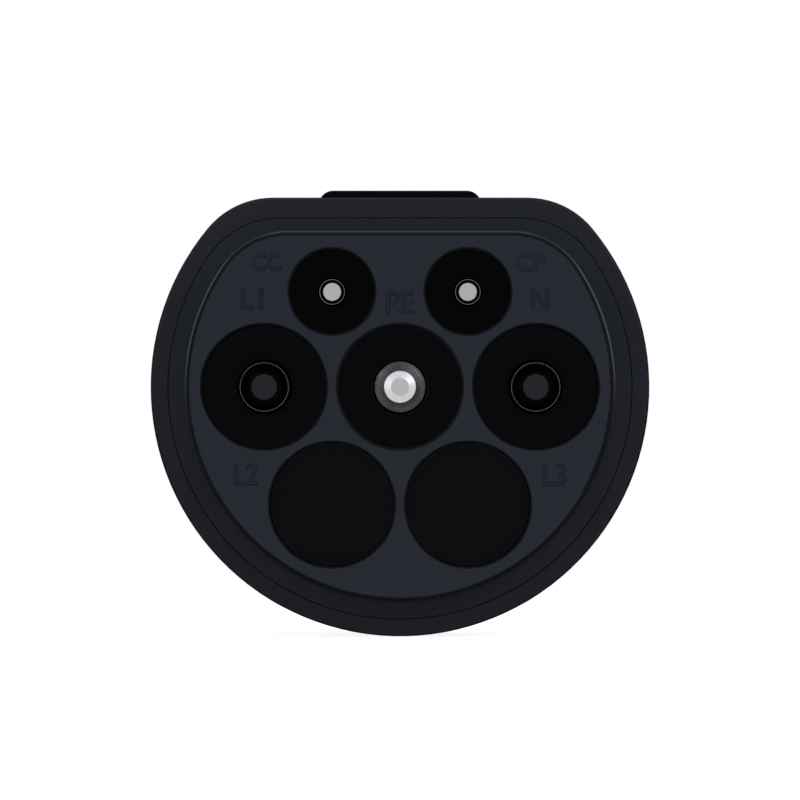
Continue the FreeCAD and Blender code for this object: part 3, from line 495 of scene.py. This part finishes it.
# Shallow marks beside the wells: middle from the earth contact, width and height, all in
# mm. Their cavity was left matt, so they read as a slightly darker black on the face.
markLook = {
    "places": {
        "cable": ("CC", -15.66, 14.64, 3.42, 2.13),
        "pilot": ("CP", 15.4, 14.6, 3.42, 2.24),
        "earth": ("PE", 0.0, 9.9, 3.31, 2.6),
        "line": ("L1", -17.37, 10.33, 2.6, 2.48),
        "line_flag": ("/", -16.42, 11.22, 0.62, 0.7),  # the font's plain figure 1 has no flag
        "neutral": ("N", 16.46, 10.33, 2.0, 2.48),
        "blank_left": ("L2", -18.08, -10.27, 2.83, 2.6),
        "blank_right": ("L3", 18.23, -10.33, 2.72, 2.72),
    },
    "standMm": 0.04,
    # the beads before they are stretched: their radius in shares of the font's size, and the
    # steps round a quarter of a bead and along a curve
    "beadRadius": 0.02,
    "beadSteps": 1,
    "curveSteps": 5,
    "darkTone": "#181d2a",
    "lightTone": "#1c2130",
    "cloudMm": 2,
    "grainMm": 0.1,
    "grainStrength": 0.3,
    "grainDepthMm": 0.02,
    "roughness": 0.8,
    "roughnessSpread": 0.05,
    "cornerMm": 0.02,
    "ior": 1.5,
    "specular": 0.3,
}


def contactMark(name, words, across, up, width, height, look):
    # the letters' outlines as thin beads, stretched to their width and height, then turned
    # to face -Y: x stays across, the letters' y becomes z, their depth becomes -y
    curve = bpy.data.curves.new("letters", "FONT")
    curve.body = words
    curve.fill_mode = "NONE"
    curve.bevel_depth = look["beadRadius"]
    curve.bevel_resolution = look["beadSteps"]
    curve.resolution_u = look["curveSteps"]
    draft = bpy.data.objects.new("letters", curve)
    bpy.context.scene.collection.objects.link(draft)
    bpy.context.view_layer.update()
    mesh = bpy.data.meshes.new_from_object(draft.evaluated_get(bpy.context.evaluated_depsgraph_get()))
    bpy.data.objects.remove(draft)
    flat = np.zeros(len(mesh.vertices) * 3)
    mesh.vertices.foreach_get("co", flat)
    points = flat.reshape(-1, 3)
    low, high = points.min(0), points.max(0)
    shares = (points - low) / (high - low)
    x = earthMiddle.x + (across + (shares[:, 0] - 0.5) * width) * mm
    z = earthMiddle.z + (up + (shares[:, 1] - 0.5) * height) * mm
    depth = shares[:, 2]
    y = noseFace + look["standMm"] * mm - depth * 2 * look["standMm"] * mm
    mesh.vertices.foreach_set("co", np.stack([x, y, z], 1).ravel())
    mesh.name = "mark_" + name
    mark = bpy.data.objects.new("mark_" + name, mesh)
    bpy.context.scene.collection.objects.link(mark)
    return mark


markFinish = mouldedPlastic("matt_marks", markLook)
for name, wordsAndPlace in markLook["places"].items():
    mark = contactMark(name, *wordsAndPlace, markLook)
    dressPiece(mark, markFinish)
    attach(mark, "root")
print("contact marks done")


stageLook = {
    "floorRadius": 0.62,
    "floorRings": 24,
    "floorSteps": 96,
    "floorTone": "#dcdcda",
    "floorRoughness": 0.9,
    "floorGlow": 0.88,
    "fibreMm": 1.5,
    "fibreShade": 0.985,
    # the room's brightness by direction, from 0 straight ahead of the nose to 1 behind the inlet:
    # a grey card with a pale ring around it, dim walls beside the adapter, paler ones further
    # back and a small white card behind
    "roomLevels": (
        (0.0, 0.5),
        (0.012, 0.5),
        (0.024, 0.85),
        (0.09, 0.85),
        (0.13, 0.12),
        (0.55, 0.12),
        (0.7, 0.2),
        (0.97, 0.2),
        (0.985, 1.0),
        (1.0, 1.0),
    ),
    "lampSize": 1.3,
    # each lamp: place, the radiance of its cloth and its tint
    "lamps": {
        "key": ((1.2, -1.65, 1.0), 0.9, "#ffffff"),
        "fill": ((-1.4, -1.6, 0.5), 0.45, "#ffffff"),
        "top": ((-0.2, -1.2, 1.8), 1.15, "#dfe8ff"),
        "over": ((0.0, 0.45, 2.0), 1.25, "#dfe8ff"),
        "back": ((0.0, 1.5, 1.3), 0.5, "#dfe8ff"),
        "upper left": ((-1.4, 0.45, 1.5), 0.6, "#e6edff"),
        "upper right": ((1.4, 0.45, 1.5), 0.85, "#e6edff"),
        "left": ((-2.0, 0.45, 0.7), 1.6, "#eef2ff"),
        "right": ((2.0, 0.45, 0.7), 2.1, "#eef2ff"),
    },
    "frameWidth": 94.5 * mm,
    "lens": 1650.0,
    "aimHeight": 27.96 * mm,
    "aimPlane": -0.045,
}


def paleFloor(look):
    # a disc: each point is a radius and an angle
    rings, steps = look["floorRings"], look["floorSteps"]
    reach = np.linspace(0, look["floorRadius"], rings)
    radius, angle = np.meshgrid(reach, np.linspace(0, 2 * pi, steps), indexing="ij")
    spots = np.stack([radius * np.cos(angle), radius * np.sin(angle), np.zeros_like(radius)], -1)
    corner = (np.arange(rings - 1)[:, None] * steps + np.arange(steps - 1)[None, :]).ravel()
    faces = np.stack([corner, corner + steps, corner + steps + 1, corner + 1], 1)
    mesh = bpy.data.meshes.new("floor")
    mesh.from_pydata(spots.reshape(-1, 3).tolist(), [], faces.tolist())
    floor = bpy.data.objects.new("floor", mesh)
    bpy.context.scene.collection.objects.link(floor)
    material, tree = newMaterial("painted_board")
    fibre = softNoise(tree, addNode(tree, "TexCoord").outputs["Object"], look["fibreMm"], detail=3.0)
    shade = mapSpan(tree, fibre, (0, 1), (look["fibreShade"], 1))
    showSurface(tree, {
        "Base Color": brightened(tree, linearColour(look["floorTone"]), shade),
        "Roughness": look["floorRoughness"],
        "Specular IOR Level": 0.0,
        "Emission Color": linearColour("#ffffff"),
        "Emission Strength": look["floorGlow"],
    })
    dressPiece(floor, material)
    floor.visible_glossy = False
    floor.visible_diffuse = False


def softRoom(look):
    # the room lights the adapter by the share of the way from -Y to +Y that a direction has
    # gone. What lies behind the adapter in a picture is plain white paper
    world = bpy.data.worlds.new("room")
    bpy.context.scene.world = world
    world.use_nodes = True
    tree = world.node_tree
    tree.nodes.clear()
    direction = addNode(tree, "TexCoord").outputs["Generated"]
    along = addNode(tree, "SeparateXYZ", {"Vector": direction}).outputs["Y"]
    ramp = addNode(tree, "ValToRGB", {"Fac": mapSpan(tree, along, (-1, 1))})
    stops = ramp.color_ramp.elements
    for position, _ in look["roomLevels"][1:-1]:  # a new ramp has its two ends already
        stops.new(position)
    for stop, (_, level) in zip(stops, look["roomLevels"]):
        stop.color = (level, level, level, 1)
    room = addNode(tree, "Background", {"Color": ramp.outputs["Color"]})
    paper = addNode(tree, "Background", {"Color": linearColour("#ffffff")})
    seen = addNode(tree, "MixShader", {
        "Fac": addNode(tree, "LightPath").outputs["Is Camera Ray"],
        1: room.outputs["Background"],
        2: paper.outputs["Background"],
    })
    addNode(tree, "OutputWorld", {"Surface": seen.outputs["Shader"]})


def softBox(name, place, radiance, tint, look):
    # a square cloth that faces the adapter: its power is radiance times pi times its area
    light = bpy.data.lights.new(name, "AREA")
    light.shape = "SQUARE"
    light.size = look["lampSize"]
    light.energy = radiance * pi * light.size ** 2
    light.color = linearColour(tint)[:3]
    lamp = bpy.data.objects.new(name, light)
    bpy.context.scene.collection.objects.link(lamp)
    lamp.location = place
    lamp.rotation_euler = (earthMiddle - lamp.location).to_track_quat("-Z", "Y").to_euler()
    lamp.visible_camera = False


def straightCamera(look):
    # a long lens straight on the nose, level with the middle of the picture
    camera = bpy.data.objects.new("camera", bpy.data.cameras.new("camera"))
    bpy.context.scene.collection.objects.link(camera)
    camera.data.lens = look["lens"]
    distance = look["lens"] * look["frameWidth"] / camera.data.sensor_width
    camera.location = (0, look["aimPlane"] - distance, look["aimHeight"])
    camera.rotation_euler = (radians(90), 0, 0)
    bpy.context.scene.camera = camera


paleFloor(stageLook)
softRoom(stageLook)
for name, (place, radiance, tint) in stageLook["lamps"].items():
    softBox(name, place, radiance, tint, stageLook)
straightCamera(stageLook)
bpy.context.scene.view_settings.view_transform = "Standard"
print("stage done")
